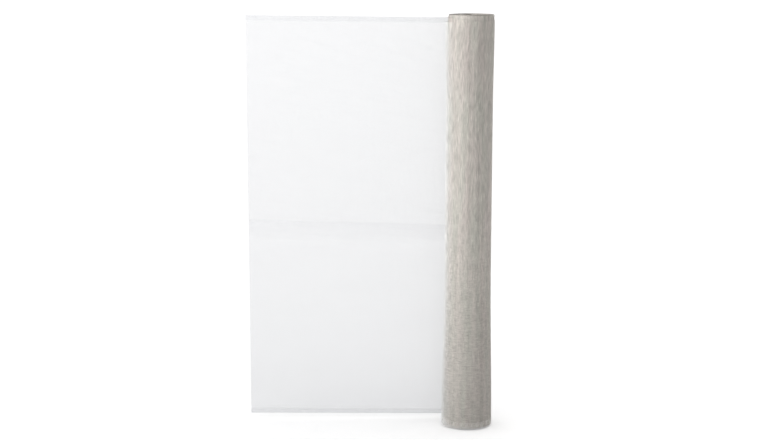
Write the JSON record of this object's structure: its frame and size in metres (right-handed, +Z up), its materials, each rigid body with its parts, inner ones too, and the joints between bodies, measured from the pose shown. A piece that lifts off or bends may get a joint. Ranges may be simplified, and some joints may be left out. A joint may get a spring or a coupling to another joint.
{
  "type": "roll of insect screen",
  "caption": "Roll of woven aluminium insect screen standing on its end, with an open bore and its free end drawn out as a flat see-through sheet",
  "frame": {"origin": "on the floor, in the middle of the footprint of roll and drawn-out sheet together", "axes": "+Z up along the roll's axis, +X from the free end towards the roll, +Y to the back, where the sheet leaves the roll"},
  "size_m": [0.7252, 0.137, 1.224],
  "materials": {
    "aluminium_mesh": "mill finish woven wire, warm light grey, dull, see-through where it is one layer"
  },
  "bodies": {
    "root": {"insect_screen": "aluminium_mesh"}
  },
  "joints": []
}
